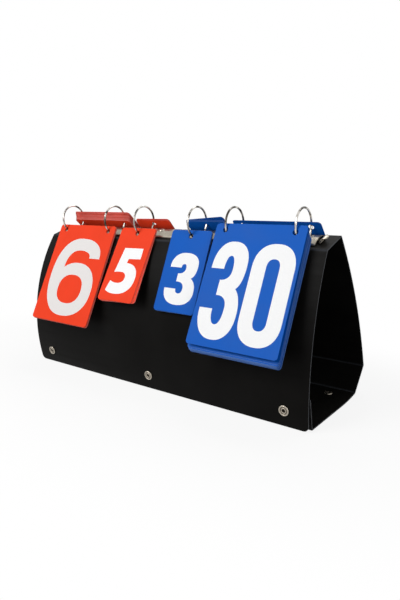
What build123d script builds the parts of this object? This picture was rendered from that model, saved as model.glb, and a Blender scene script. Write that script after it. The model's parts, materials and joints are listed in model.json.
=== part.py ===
from build123d import *
from dataclasses import dataclass
import math
import os

# A tabletop flip scoreboard. A folded plastic sheet makes a hollow ridge-shaped case. A ring
# mechanism on its narrow top panel holds four sets of numbered cards that flip over the rings.
# Millimetres. X runs along the case, -Y is the front, Z is up, and z = 0 is the surface it stands on.

# ---- case sheet --------------------------------------------------------------------------------
case_length = 385.0
sheet = 1.2
front_crease = (-35.6, 164.0)
back_crease = (-4.7, 174.9)
heel_crease = (75.1, 28.6)
base_rear_crease = (52.9, 3.4)
base_front_crease = (-54.2, 0.6)
front_foot = (-61.8, 1.0)
front_bow_right = 11.0
front_bow_left = 18.0
back_bow = 8.0
lip_height = 31.6
base_flat_end = 18.0
crease_gap = 0.12
corner_radius = 5.0

# ---- press studs -------------------------------------------------------------------------------
stud_pitch = 168.0
stud_height = 16.6
stud_stack = 4.3
stud_head_mid = 2.2
cap_radius = 5.25
cap_rise = 1.1
cap_edge = 0.35
cap_slope = 1.1
cap_bore = 2.0
cap_dish = 0.7
barrel_radius = 2.6
socket_radius = 4.6
socket_flange = 0.8
socket_depth = 2.4
socket_cavity = 2.45
socket_rim = 1.1
socket_floor = 0.5
stud_radius = 4.2
stud_base = 0.6
stud_edge = 0.5
stud_head_radius = 1.75
stud_waist = 1.45
stud_head_low = 0.7
stud_head_nose = 0.4
stud_head_reach = 3.0
base_stud_reach = 1.9
post_radius = 4.3
post_flange = 0.6
post_edge = 0.4
post_shank = 1.2
post_tip_gap = 0.3
base_stud_inset = 14.0
fit_gap = 0.05
seat_gap = 0.1

# ---- cards -------------------------------------------------------------------------------------
card_wall = 0.22
card_corner = 3.5
card_hole = 2.9
hole_inset = 6.8
rim_gap = 0.15
big_card_width, big_card_height = 100.0, 125.3
small_card_width, small_card_height = 53.2, 90.2
middle_gap = 24.6
card_gap = 9.8
ring_pitch = 76.8

# ---- ring mechanism ----------------------------------------------------------------------------
ring_radius = 16.6
wire_radius = 1.1
ring_foot_across = 7.9208
ring_foot_height = 1.812
ring_tip_gap = 0.15
cover_overhang = 14.3
cover_half_width = 11.0
cover_side = 2.0
cover_crown = 5.6
cover_wall = 0.8
cover_foot = 0.75
notch_half = 1.7
notch_reach = 3.4
notch_top = 6.2
blade_inset = 2.0
blade_inner = 0.15
blade_outer = 9.1
blade_low = 1.65
blade_wall = 0.8
slot_inner = 6.2
slot_gap = 0.05
outer_rivet_x = 140.0
inner_rivet_x = 15.0
rivet_radius = 1.9
rivet_head = 3.4
rivet_head_rise = 0.9
rivet_head_slope = 0.6
rivet_clear = 0.5
rivet_clinch = 0.8
rivet_clinch_wall = 0.45
washer_radius = 4.5
washer_wall = 0.8
washer_gap = 0.02
lever_gap = 0.5
lever_neck_reach = 6.9
lever_tab_reach = 6.1
lever_tip_rise = 8.6
lever_low = 1.2
lever_wall = 1.0
lever_roll = 0.8
lever_neck = 6.0
lever_tab = 13.0

# ---- how the cards hang --------------------------------------------------------------------------
# A shown card's offset is from the ring centre to its middle, square to the card. Behind it hang
# leaves of one or more cards, first_gap and then gap apart. A flipped pile starts at its offset.
red_score_tilt = 25.2
red_score_shown = 5.5
red_score_first_gap = 0.46
red_score_gap = 0.34
red_score_back_tilt = 49.0
red_score_back_start = 6.87
red_score_back_gap = 0.01
red_set_tilt = 29.0
red_set_shown = 3.3
red_set_gap = 0.16
red_set_back_gap = 0.18
blue_set_tilt = 22.7
blue_set_shown = 4.7
blue_set_gap = 0.23
blue_set_back_gap = 0.28
blue_score_tilt = 25.6
blue_score_shown = 12.35
blue_score_first_gap = 0.36
blue_score_gap = 1.035
back_tilt = 43.5
back_start = 9.49

# Derived places -----------------------------------------------------------------------------------
half_length = case_length / 2
half_sheet = sheet / 2
rail = half_sheet + crease_gap
hole_depth = 4 * sheet
top_tilt = math.atan2(back_crease[1] - front_crease[1], back_crease[0] - front_crease[0])
top_mid = ((front_crease[0] + back_crease[0]) / 2, (front_crease[1] + back_crease[1]) / 2)

# Along X: small cards either side of the middle, big cards outside them, and the rings in their holes.
small_ring_x = middle_gap / 2 + small_card_width / 2
big_card_x = small_ring_x + small_card_width / 2 + card_gap + big_card_width / 2
outer_ring_x = big_card_x + ring_pitch / 2
inner_ring_x = big_card_x - ring_pitch / 2
cover_half = outer_ring_x + cover_overhang
blade_half = cover_half - blade_inset
lever_inner_x = blade_half + lever_gap
lever_heel_x = lever_inner_x + lever_neck_reach
lever_tip_x = lever_heel_x + lever_tab_reach
rivet_xs = (-outer_rivet_x, -inner_rivet_x, inner_rivet_x, outer_rivet_x)


def along(a, b, distance):
    """The point a given distance from a towards b, in the YZ section."""
    share = distance / math.dist(a, b)
    return (a[0] + (b[0] - a[0]) * share, a[1] + (b[1] - a[1]) * share)


def deck(across, height):
    """A point of the YZ section given in the top panel's own frame."""
    cos_t, sin_t = math.cos(top_tilt), math.sin(top_tilt)
    return (top_mid[0] + across * cos_t - height * sin_t, top_mid[1] + across * sin_t + height * cos_t)


ring_rise = math.sqrt(ring_radius**2 - ring_foot_across**2)
ring_centre = deck(0, ring_foot_height + ring_rise)


def section(points, x=-half_length, length=case_length):
    """A straight-sided YZ outline carried along X."""
    face = make_face(Polyline(*[(0, y, z) for y, z in points], close=True).edges())
    return extrude(Pos(x, 0, 0) * face, amount=length, dir=(1, 0, 0))


def bowed_arc(a, b, bow):
    """Centre and radius of the arc from a to b that bows to the right of the way from a to b."""
    span = math.dist(a, b)
    radius = span * span / (8 * bow) + bow / 2
    ux, uy = (b[0] - a[0]) / span, (b[1] - a[1]) / span
    nx, ny = uy, -ux
    mid = ((a[0] + b[0]) / 2, (a[1] + b[1]) / 2)
    centre = (mid[0] - nx * (radius - bow), mid[1] - ny * (radius - bow))
    return centre, radius


def arc_point(centre, radius, a, b, share):
    """A point on the arc about centre, a share of the way from a's bearing to b's."""
    start = math.atan2(a[1] - centre[1], a[0] - centre[0])
    turn = math.atan2(b[1] - centre[1], b[0] - centre[0]) - start
    turn = (turn + math.pi) % (2 * math.pi) - math.pi
    angle = start + turn * share
    return (centre[0] + radius * math.cos(angle), centre[1] + radius * math.sin(angle))


def bowed_face(nose, end, bow, x, end_trim):
    """The end face, at x, of a bowed sheet whose middle line starts in a round nose on a crease."""
    centre, radius = bowed_arc(nose, end, bow)
    length = radius * 2 * math.asin(math.dist(nose, end) / 2 / radius)
    last = 1 - end_trim / length
    rows = []
    for r in (radius + half_sheet, radius - half_sheet):
        rows.append([(x, *arc_point(centre, r, nose, end, share)) for share in (0, last / 2, last)])
    outer, inner = rows
    back = arc_point(centre, radius, nose, end, -half_sheet / length)
    edges = [ThreePointArc(*outer), Line(outer[2], inner[2]), ThreePointArc(*reversed(inner)),
             ThreePointArc(inner[0], (x, *back), outer[0])]
    return make_face([edge.edge() for edge in edges])


def flat_face(nose, end, x):
    """The end face, at x, of a flat strip of sheet that starts in a round nose on a crease."""
    near_a, far_a, far_b, near_b = [(x, y, z) for y, z in strip(nose, end)]
    back = (x, *along(nose, end, -half_sheet))
    edges = [Line(near_a, far_a), Line(far_a, far_b), Line(far_b, near_b),
             ThreePointArc(near_b, back, near_a)]
    return make_face([edge.edge() for edge in edges])


def through(face):
    """A panel of the case's length from its end face."""
    return extrude(face, amount=case_length, dir=(1, 0, 0))


def front_point(x, height):
    """The middle of the front panel at x and a height, and its outward normal in the YZ section."""
    ends = []
    for bow in (front_bow_left, front_bow_right):
        centre, radius = bowed_arc(front_crease, front_foot, bow)
        y = centre[0] - math.sqrt(radius**2 - (height - centre[1])**2)
        ends.append((y, (y - centre[0]) / radius, (height - centre[1]) / radius))
    share = (x + half_length) / case_length
    return [a + (b - a) * share for a, b in zip(*ends)]


def lip_line(x):
    """Bearing of the closing lip at x, and how far along it the stud sits. The lip is the tangent,
    from the base's front crease, that puts the stud's head on the axis of its socket."""
    y, ny, nz = front_point(x, stud_height)
    depth = half_sheet + stud_stack - stud_head_mid
    to_head = (y - ny * depth - base_front_crease[0], stud_height - nz * depth - base_front_crease[1])
    away = math.hypot(*to_head)
    stand = half_sheet + stud_head_mid
    return math.atan2(to_head[1], to_head[0]) - math.asin(stand / away), math.sqrt(away**2 - stand**2)


def seat(x, y, z, ny, nz):
    """A frame on the sheet at a point, its Z along the given normal."""
    return Plane(origin=(x, y, z), x_dir=(1, 0, 0), z_dir=(0, ny, nz)).location


def turned(points):
    """A solid of revolution about local Z from radius-height points."""
    profile = make_face(Polyline(*[(r, 0, h) for r, h in points], close=True).edges())
    return revolve(profile, Axis.Z)


# ---- panels --------------------------------------------------------------------------------------
def front_panel():
    faces = [bowed_face(front_crease, front_foot, bow, x, 0)
             for x, bow in ((-half_length, front_bow_left), (half_length, front_bow_right))]
    panel = loft(Sketch() + faces, ruled=True)
    for side in (-1, 1):
        x = side * half_length
        y = front_foot[0]
        corner = Pos(x, y, front_foot[1]) * Box(2 * corner_radius, front_bow_left, 2 * corner_radius)
        round_off = Pos(x - side * corner_radius, y, front_foot[1] + corner_radius) * (
            Rot(90, 0, 0) * Cylinder(corner_radius, front_bow_left))
        panel -= corner - round_off
    for x in stud_xs():
        panel -= front_seat(x) * Cylinder(barrel_radius + fit_gap, hole_depth)
    return panel


def top_panel():
    panel = through(flat_face(back_crease, along(front_crease, back_crease, rail), -half_length))
    for x in rivet_xs:
        panel -= deck_at(x, 0, 0) * Cylinder(rivet_radius + fit_gap, hole_depth)
    return panel


def strip(a, b):
    """The outline of a flat strip of sheet whose middle line runs from a to b."""
    span = math.dist(a, b)
    nx, ny = -(b[1] - a[1]) / span * half_sheet, (b[0] - a[0]) / span * half_sheet
    return [(a[0] + nx, a[1] + ny), (b[0] + nx, b[1] + ny), (b[0] - nx, b[1] - ny), (a[0] - nx, a[1] - ny)]


def back_panel():
    return through(bowed_face(heel_crease, back_crease, back_bow, -half_length, rail))


def rear_panel():
    return through(flat_face(base_rear_crease, along(heel_crease, base_rear_crease, rail), -half_length))


def base_curve():
    """Centre and radius of the arc that lifts the rear of the base from its flat to the rear crease."""
    run, rise = base_rear_crease[0] - base_flat_end, base_rear_crease[1] - half_sheet
    radius = (run**2 + rise**2) / (2 * rise)
    return (base_flat_end, half_sheet + radius), radius


def base_panel():
    """A flat floor that lifts gently behind the flat, ending short of both its creases."""
    centre, radius = base_curve()
    sweep_angle = math.asin((base_rear_crease[0] - base_flat_end) / radius) - rail / radius
    rows = []
    for r in (radius + half_sheet, radius - half_sheet):
        turns = [sweep_angle * share for share in (0, 0.5, 1)]
        rows.append([(-half_length, centre[0] + r * math.sin(a), centre[1] - r * math.cos(a)) for a in turns])
    under, over = rows
    start = base_front_crease[0] + rail
    first_under, first_over = (-half_length, start, 0), (-half_length, start, sheet)
    edges = [Line(first_under, under[0]), ThreePointArc(*under), Line(under[2], over[2]),
             ThreePointArc(*reversed(over)), Line(over[0], first_over), Line(first_over, first_under)]
    panel = through(make_face([e.edge() for e in edges]))
    for x in stud_xs():
        panel -= base_seat(x) * Cylinder(post_shank + fit_gap, hole_depth)
    return panel


def closing_lip():
    faces = []
    for x in (-half_length, half_length):
        slope, _ = lip_line(x)
        rise = lip_height - base_front_crease[1]
        top = (base_front_crease[0] + rise / math.tan(slope), lip_height)
        faces.append(flat_face(base_front_crease, top, x))
    lip = loft(Sketch() + faces, ruled=True)
    for x in stud_xs():
        lip -= lip_seat(x) * Cylinder(post_shank + fit_gap, hole_depth)
    return lip


# ---- press studs -----------------------------------------------------------------------------------
def stud_xs():
    return (-stud_pitch, 0.0, stud_pitch)


def front_seat(x):
    y, ny, nz = front_point(x, stud_height)
    return seat(x, y, stud_height, ny, nz)


def lip_seat(x):
    slope, reach = lip_line(x)
    y = base_front_crease[0] + reach * math.cos(slope)
    z = base_front_crease[1] + reach * math.sin(slope)
    return seat(x, y, z, -math.sin(slope), math.cos(slope))


def base_seat(x):
    """On the lifted rear of the base, its Z pointing down out of the case."""
    centre, radius = base_curve()
    across = base_rear_crease[0] - base_stud_inset - centre[0]
    angle = math.asin(across / radius)
    height = centre[1] - radius * math.cos(angle)
    return seat(x, centre[0] + across, height, math.sin(angle), -math.cos(angle))


def stud_cap():
    """Ring-shaped cap on the outside of the front panel, with its barrel through the sheet."""
    face = half_sheet + seat_gap
    top = face + cap_rise
    return turned([(cap_bore, -half_sheet), (barrel_radius, -half_sheet), (barrel_radius, face),
                   (cap_radius, face), (cap_radius, face + cap_edge), (cap_radius - cap_slope, top),
                   (cap_bore + cap_dish, top), (cap_bore, top - cap_dish)])


def stud_socket():
    """Spring socket on the inside of the front panel. It opens towards the lip."""
    face = -half_sheet - seat_gap
    floor = face - socket_floor
    end = face - socket_depth
    return turned([(cap_bore, face), (socket_radius, face), (socket_radius, face - socket_flange),
                   (socket_cavity + socket_rim, end), (socket_cavity, end), (socket_cavity, floor),
                   (cap_bore, floor)])


def stud_male(head_reach):
    """Stud with a waisted head, riveted on a sheet."""
    face = half_sheet + seat_gap
    base_top = face + stud_base
    bore = post_shank + fit_gap
    head = face + head_reach
    return turned([(bore, face), (stud_radius, face), (stud_radius, base_top - stud_base / 3),
                   (stud_radius - stud_edge, base_top), (stud_waist, base_top),
                   (stud_head_radius, base_top + stud_head_low), (stud_head_radius, head - stud_head_nose),
                   (stud_head_radius - stud_head_nose, head), (bore, head)])


def stud_post(head_reach):
    """Flanged post whose shank passes through the sheet into the stud."""
    face = -half_sheet - seat_gap
    tip = half_sheet + head_reach - post_tip_gap
    return turned([(0, face - post_flange), (post_radius - post_edge, face - post_flange),
                   (post_radius, face - post_flange / 3), (post_radius, face), (post_shank, face),
                   (post_shank, tip), (0, tip)])


# ---- ring mechanism ----------------------------------------------------------------------------------
def deck_at(x, across, height):
    """A frame on the top panel, its Z square to the panel and its X along the case."""
    y, z = deck(across, height)
    return seat(x, y, z, -math.sin(top_tilt), math.cos(top_tilt))


def ring_xs():
    return (-outer_ring_x, -inner_ring_x, -small_ring_x, small_ring_x, inner_ring_x, outer_ring_x)


def half_ring(x, side):
    """Half of one ring, from its foot in the blade to its tip. side is -1 in front, 1 behind."""
    foot_angle = math.asin(ring_foot_across / ring_radius)
    bearing = top_tilt + side * foot_angle - math.pi / 2
    ry, rz = math.cos(bearing), math.sin(bearing)
    foot = (x, ring_centre[0] + ring_radius * ry, ring_centre[1] + ring_radius * rz)
    section_plane = Plane(origin=foot, x_dir=(1, 0, 0), z_dir=(0, -rz, ry))
    turn = 180 - math.degrees(foot_angle + ring_tip_gap / 2 / ring_radius)
    return revolve(section_plane * Circle(wire_radius), Axis((x, *ring_centre), (side, 0, 0)), turn)


def mechanism_cover():
    """The arched plate over the blades, with a notch in its edge for each half ring."""
    rows = []
    for inset in (0, cover_wall):
        w, top = cover_half_width - inset, cover_crown - inset
        row = [(-w, cover_foot), (-w, cover_side), (0, top), (w, cover_side), (w, cover_foot)]
        rows.append([(-cover_half, *deck(*p)) for p in row])
    outer, inner = rows
    edges = [Line(outer[0], outer[1]), ThreePointArc(*outer[1:4]), Line(outer[3], outer[4]),
             Line(outer[4], inner[4]), Line(inner[4], inner[3]), ThreePointArc(*inner[3:0:-1]),
             Line(inner[1], inner[0]), Line(inner[0], outer[0])]
    cover = extrude(make_face([e.edge() for e in edges]), amount=2 * cover_half, dir=(1, 0, 0))
    reach = notch_reach + cover_wall
    for x in ring_xs():
        for side in (-1, 1):
            middle = side * (cover_half_width - notch_reach + reach / 2)
            cover -= deck_at(x, middle, notch_top / 2) * Box(2 * notch_half, reach, notch_top)
    for x in rivet_xs:
        cover -= deck_at(x, 0, cover_crown) * Cylinder(rivet_radius + fit_gap, cover_crown)
    return cover


def blade(side):
    """One of the two blades, slotted at each half ring and notched round the rivets."""
    low, high = blade_low, blade_low + blade_wall
    points = [deck(side * blade_inner, low), deck(side * blade_outer, low),
              deck(side * blade_outer, high), deck(side * blade_inner, high)]
    plate = section(points, -blade_half, 2 * blade_half)
    slot = blade_outer - slot_inner + blade_wall
    for x in ring_xs():
        place = deck_at(x, side * (slot_inner + slot / 2), low)
        plate -= place * Box(2 * (wire_radius + slot_gap), slot, blade_outer)
    for x in rivet_xs:
        plate -= deck_at(x, 0, low) * Cylinder(rivet_radius + rivet_clear, blade_outer)
    return plate


def front_blade():
    return blade(-1)


def back_blade():
    return blade(1)


def rivet(x):
    """One mounting rivet: head on the cover, shank down through the top panel."""
    top = cover_crown + fit_gap
    clinch_top = -half_sheet - washer_wall - fit_gap
    clinch = rivet_radius + rivet_clinch
    bottom = clinch_top - rivet_clinch_wall
    body = turned([(0, bottom), (clinch, bottom), (clinch, clinch_top), (rivet_radius, clinch_top),
                   (rivet_radius, top), (rivet_head, top),
                   (rivet_head - rivet_head_slope, top + rivet_head_rise), (0, top + rivet_head_rise)])
    return deck_at(x, 0, 0) * body


def washer(x):
    top = -half_sheet - washer_gap
    bore = rivet_radius + fit_gap
    bottom = top - washer_wall
    ring = turned([(bore, bottom), (washer_radius, bottom), (washer_radius, top), (bore, top)])
    return deck_at(x, 0, 0) * ring


def lever(side):
    """Opening lever at one end: a neck under the cover, a rolled heel and a rounded tab that stands up."""
    low, high = lever_low, lever_low + lever_wall
    lean = math.atan2(lever_tip_rise - low, lever_tab_reach)
    back_x, back_z = -lever_wall * math.sin(lean), lever_wall * math.cos(lean)
    path = [(lever_inner_x, low), (lever_heel_x, low), (lever_tip_x, lever_tip_rise),
            (lever_tip_x + back_x, lever_tip_rise + back_z), (lever_heel_x, high), (lever_inner_x, high)]
    outline = make_face(Polyline(*[(x, 0, h) for x, h in path], close=True).edges())
    body = extrude(outline, amount=lever_tab / 2, both=True, dir=(0, 1, 0))
    body += Pos(lever_heel_x, 0, low + lever_wall / 2) * Rot(90, 0, 0) * Cylinder(lever_roll, lever_tab)
    reach = lever_neck_reach + lever_tab_reach + lever_tab
    tab = Pos(lever_heel_x, 0, low) * Rot(0, 90, 0) * Cylinder(lever_tab / 2, reach)
    tab &= Pos(lever_heel_x - lever_roll, 0, 0) * Box(
        reach, lever_tab, 2 * lever_tab, align=(Align.MIN, Align.CENTER, Align.CENTER))
    neck = Pos(lever_heel_x, 0, low) * Box(2 * lever_neck_reach, lever_neck, lever_neck)
    placed = deck_at(0, 0, 0) * (body & (tab + neck))
    return placed if side > 0 else mirror(placed, Plane.YZ)


def left_lever():
    return lever(-1)


def right_lever():
    return lever(1)


# ---- cards ---------------------------------------------------------------------------------------------
@dataclass
class CardSet:
    """One set of cards on its rings. Leaves are (cards in a leaf, number of leaves)."""
    name: str
    x: float
    width: float
    height: float
    hole_xs: tuple
    tilt: float
    shown: float
    front_leaves: tuple
    first_gap: float
    gap: float
    back_tilt: float
    back_leaves: tuple
    back_start: float
    back_gap: float

    def leaf(self, cards, tilt, offset, side):
        """A leaf of cards hanging with its holes' rims just off the wire. tilt is from vertical, offset
        is its middle's distance from the ring centre, and side is -1 in front, 1 behind."""
        thick = cards * card_wall
        a = math.radians(tilt)
        ny, nz = side * math.cos(a), math.sin(a)
        dy, dz = side * math.sin(a), -math.cos(a)
        slant = math.asin((offset + thick / 2) / ring_radius)
        hang = card_hole - wire_radius / math.cos(slant) - thick * math.tan(slant) / 2 - rim_gap
        down = math.sqrt(ring_radius**2 - offset**2)
        y = ring_centre[0] + ny * offset + dy * down
        z = ring_centre[1] + nz * offset + dz * down
        place = Plane(origin=(self.x, y, z), x_dir=(-side, 0, 0), z_dir=(0, ny, nz))
        middle = hole_inset - hang - self.height / 2
        outline = Pos(0, middle) * RectangleRounded(self.width, self.height, card_corner)
        for x in self.hole_xs:
            outline -= Pos(x, -hang) * Circle(card_hole)
        return extrude(place * outline, amount=thick / 2, both=True)

    def card(self):
        return self.leaf(1, self.tilt, self.shown, -1)

    def front_stack(self):
        """Leaves behind the shown card, each nearer the ring centre than the last."""
        cards, count = self.front_leaves
        thick = cards * card_wall
        first = self.shown - card_wall / 2 - self.first_gap - thick / 2
        return [self.leaf(cards, self.tilt, first - i * (thick + self.gap), -1) for i in range(count)]

    def back_stack(self):
        """Flipped leaves behind the rings, each further out than the last."""
        cards, count = self.back_leaves
        thick = cards * card_wall
        offsets = [self.back_start + thick / 2 + i * (thick + self.back_gap) for i in range(count)]
        return [self.leaf(cards, self.back_tilt, offset, 1) for offset in offsets]


def card_sets():
    pair = (-ring_pitch / 2, ring_pitch / 2)
    big = dict(width=big_card_width, height=big_card_height, hole_xs=pair)
    small = dict(width=small_card_width, height=small_card_height, hole_xs=(0.0,), back_tilt=back_tilt,
                 back_start=back_start)
    return (
        CardSet(name="red_score", x=-big_card_x, tilt=red_score_tilt, shown=red_score_shown,
                front_leaves=(3, 2), first_gap=red_score_first_gap, gap=red_score_gap,
                back_tilt=red_score_back_tilt, back_leaves=(6, 4), back_start=red_score_back_start,
                back_gap=red_score_back_gap, **big),
        CardSet(name="red_set", x=-small_ring_x, tilt=red_set_tilt, shown=red_set_shown,
                front_leaves=(1, 5), first_gap=red_set_gap, gap=red_set_gap,
                back_leaves=(1, 2), back_gap=red_set_back_gap, **small),
        CardSet(name="blue_set", x=small_ring_x, tilt=blue_set_tilt, shown=blue_set_shown,
                front_leaves=(1, 3), first_gap=blue_set_gap, gap=blue_set_gap,
                back_leaves=(1, 4), back_gap=blue_set_back_gap, **small),
        CardSet(name="blue_score", x=big_card_x, tilt=blue_score_tilt, shown=blue_score_shown,
                front_leaves=(6, 5), first_gap=blue_score_first_gap, gap=blue_score_gap,
                back_tilt=back_tilt, back_leaves=(1, 1), back_start=back_start,
                back_gap=blue_set_back_gap, **big),
    )


def write(name, solids):
    shapes = [s for item in solids for s in item.solids()]
    export_step(Compound(children=shapes) if len(shapes) > 1 else shapes[0], f"parts/{name}.step")


def build():
    os.makedirs("parts", exist_ok=True)
    single = (front_panel, top_panel, back_panel, rear_panel, base_panel, closing_lip,
              mechanism_cover, front_blade, back_blade, left_lever, right_lever)
    for piece in single:
        write(piece.__name__, [piece()])
    xs = stud_xs()
    write("front_stud_caps", [front_seat(x) * stud_cap() for x in xs])
    write("front_stud_sockets", [front_seat(x) * stud_socket() for x in xs])
    write("lip_studs", [lip_seat(x) * stud_male(stud_head_reach) for x in xs])
    write("lip_stud_posts", [lip_seat(x) * stud_post(stud_head_reach) for x in xs])
    write("base_studs", [base_seat(x) * stud_male(base_stud_reach) for x in xs])
    write("base_stud_posts", [base_seat(x) * stud_post(base_stud_reach) for x in xs])
    write("mounting_rivets", [rivet(x) for x in rivet_xs])
    write("rivet_washers", [washer(x) for x in rivet_xs])
    for number, x in enumerate(ring_xs(), 1):
        write(f"front_half_ring_{number}", [half_ring(x, -1)])
        write(f"back_half_ring_{number}", [half_ring(x, 1)])
    for cards in card_sets():
        write(f"{cards.name}_card", [cards.card()])
        write(f"{cards.name}_front_stack", cards.front_stack())
        write(f"{cards.name}_back_stack", cards.back_stack())


if __name__ == "__main__":
    build()
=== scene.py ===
# %% [markdown]
# # A tabletop flip scoreboard
# A black plastic sheet is folded into a ridge-shaped case. Along its narrow top runs a ring
# mechanism, as in a ring binder, and four sets of numbered cards hang from its rings.
# The solids of every piece are already made to size and come in as a fixed frame. This lesson
# gives each of them its finish and adds what the solids leave out: single cards in place of
# blocks, printed numerals, stamped stud caps, curled levers and the pale marks of folding.

# %% Load the frame
import bpy
import json
import math
import numpy as np
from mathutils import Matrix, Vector
from mathutils.geometry import tessellate_polygon


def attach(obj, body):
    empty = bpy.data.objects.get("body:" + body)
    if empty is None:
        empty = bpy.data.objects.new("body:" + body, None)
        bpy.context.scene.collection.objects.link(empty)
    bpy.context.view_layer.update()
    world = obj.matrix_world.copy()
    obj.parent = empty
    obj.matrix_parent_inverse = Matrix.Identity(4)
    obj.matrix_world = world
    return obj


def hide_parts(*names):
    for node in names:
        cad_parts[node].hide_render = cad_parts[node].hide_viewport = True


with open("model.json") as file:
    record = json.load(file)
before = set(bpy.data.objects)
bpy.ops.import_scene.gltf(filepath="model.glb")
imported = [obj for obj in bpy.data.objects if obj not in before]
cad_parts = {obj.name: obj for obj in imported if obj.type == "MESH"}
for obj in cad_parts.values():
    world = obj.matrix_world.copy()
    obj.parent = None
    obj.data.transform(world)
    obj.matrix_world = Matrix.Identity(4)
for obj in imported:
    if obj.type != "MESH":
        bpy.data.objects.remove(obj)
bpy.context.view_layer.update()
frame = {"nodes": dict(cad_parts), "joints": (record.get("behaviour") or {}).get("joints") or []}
nodes = frame["nodes"]

# %% [markdown]
# ## Measures
# Blender works in metres, and the board's pieces are easier to think of in millimetres. So their
# sizes are written in millimetres and multiplied once by MM, and only the studio round the board
# is in metres. Whatever the frame already knows, such as where a card hangs, is read from it and
# not written again.

# %% Units, colours and one way to add a node
MM = 0.001


def linear(hex_colour):
    """A hex colour as linear RGBA: each channel c is c / 12.92 below 0.04045, and
    ((c + 0.055) / 1.055) to the power 2.4 above."""
    channels = [int(hex_colour[i:i + 2], 16) / 255 for i in (1, 3, 5)]
    return [c / 12.92 if c <= 0.04045 else ((c + 0.055) / 1.055) ** 2.4 for c in channels] + [1.0]


def per_metre(period_mm):
    """The texture scale whose pattern repeats about every period_mm millimetres."""
    return 1 / (period_mm * MM)


def from_to(source, target=(0.0, 1.0)):
    """The limits of a Map Range node that stretches source to target and clamps it there."""
    return dict(zip(("From Min", "From Max", "To Min", "To Max"), (*source, *target)))


def add(tree, kind, sockets=None, out=0, **settings):
    """Add one shader node. sockets gives an input's value, or the output that feeds it, and out
    says which of its own outputs is returned."""
    made = tree.nodes.new("ShaderNode" + kind)
    for key, value in settings.items():
        setattr(made, key, value)
    for key, value in (sockets or {}).items():
        if isinstance(value, bpy.types.NodeSocket):
            tree.links.new(value, made.inputs[key])
        else:
            made.inputs[key].default_value = value
    return made.outputs[out] if made.outputs else None


def empty_tree(owner):
    """The node tree of a material or of the world, emptied."""
    owner.use_nodes = True
    owner.node_tree.nodes.clear()
    return owner.node_tree


def new_material(name):
    """A material, its emptied node tree and the Object coordinates that its patterns read."""
    material = bpy.data.materials.new(name)
    tree = empty_tree(material)
    return material, tree, add(tree, "TexCoord", out="Object")


print("the mid grey #808080 is %.3f in linear light" % linear("#808080")[0])

# %% [markdown]
# ## The camera
# The board is seen from its right-hand front corner, a little above its ridge, from close by.
# A real lens at that distance makes the near end clearly taller than the far one. The place,
# the turn and the focal length below are those of a standing viewer's camera. A small shift
# moves the board within the frame, which turning the camera would do too, but that would also
# change the slope of every edge.

# %% Place the camera
camera_place = Vector((378.4, -470.6, 206.4)) * MM
# It looks down and is turned to its left by these angles, in radians.
camera_down, camera_turn = 0.168, 0.638
# The focal length, the frame's size and the point straight ahead, in pixels from the top left.
focal_px, frame_px, ahead_px = 516.97, (400, 600), (204.5, 289.8)
sensor_mm = 36.0
nearest_mm = 10.0

lens = bpy.data.cameras.new("camera")
lens.sensor_width = sensor_mm
lens.lens = focal_px * sensor_mm / frame_px[1]
lens.shift_x = (frame_px[0] / 2 - ahead_px[0]) / frame_px[1]
lens.shift_y = (ahead_px[1] - frame_px[1] / 2) / frame_px[1]
lens.clip_start = nearest_mm * MM
camera = bpy.data.objects.new("camera", lens)
camera.location = camera_place
camera.rotation_euler = (math.pi / 2 - camera_down, 0, camera_turn)
bpy.context.scene.collection.objects.link(camera)
bpy.context.scene.camera = camera
print("focal length %.1f mm" % lens.lens)

# %% [markdown]
# ## Light and floor
# A product like this is lit with one big soft source in front and above, a weaker one on the
# other side, and one overhead that draws highlights along the rings. The world gives the rest.
# A plain level is wanted: a card that faces the light should render in about the colour that its
# material says. The floor is a pale plane that looks white to the camera and keeps only a soft
# shadow, and that shadow fades out with distance so no horizon shows. Light that bounces off it
# meets a mid grey, so that the undersides of flipped cards stay deep.

# %% Soft studio light
backdrop_white = (1, 1, 1, 1)
fill_colour, fill_strength = "#F2F5FA", 0.17
# Each softbox: its place in metres, its width in metres and its power in watts.
softboxes = {
    "key": ((-0.55, -1.15, 0.95), 0.8, 16.6),
    "side": ((1.15, -0.75, 0.55), 0.6, 5.2),
    "overhead": ((0.1, 0.55, 1.25), 0.8, 5.6),
}
board_middle = Vector((0, 0, 0.1))


def seen_rays(tree):
    """1 for a ray from the camera or by way of a mirror or glass, and 0 for any other."""
    seen = add(tree, "LightPath", out="Is Camera Ray")
    for kind in ("Is Glossy Ray", "Is Transmission Ray"):
        other = add(tree, "LightPath", out=kind)
        seen = add(tree, "Math", {0: seen, 1: other}, operation="MAXIMUM")
    return seen


scene = bpy.context.scene
scene.view_settings.view_transform = "Standard"
scene.world = bpy.data.worlds.new("studio")
tree = empty_tree(scene.world)
fill = add(tree, "Background", {"Color": linear(fill_colour), "Strength": fill_strength})
white = add(tree, "Background", {"Color": backdrop_white, "Strength": 1.0})
either = add(tree, "MixShader", {0: seen_rays(tree), 1: fill, 2: white})
add(tree, "OutputWorld", {"Surface": either})

for name, (place, width, watts) in softboxes.items():
    lamp = bpy.data.lights.new(name, "AREA")
    lamp.size = width
    lamp.energy = watts
    holder = bpy.data.objects.new(name, lamp)
    holder.location = place
    holder.rotation_euler = (board_middle - Vector(place)).to_track_quat("-Z", "Y").to_euler()
    scene.collection.objects.link(holder)
print("softboxes:", ", ".join(softboxes))

# %% Floor that looks white and keeps a soft shadow
floor_half = 4.0
floor_white, floor_bounce = "#F4F4F2", "#868684"
# The share of the real shading that the floor keeps, and the distances where it fades out.
shadow_share = 0.13
shadow_reach = (0.13, 0.30)
# The board is longer than deep, so its shadow is measured in an oval, half as steep along X.
oval = (0.55, 1.0, 1.0)

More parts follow.
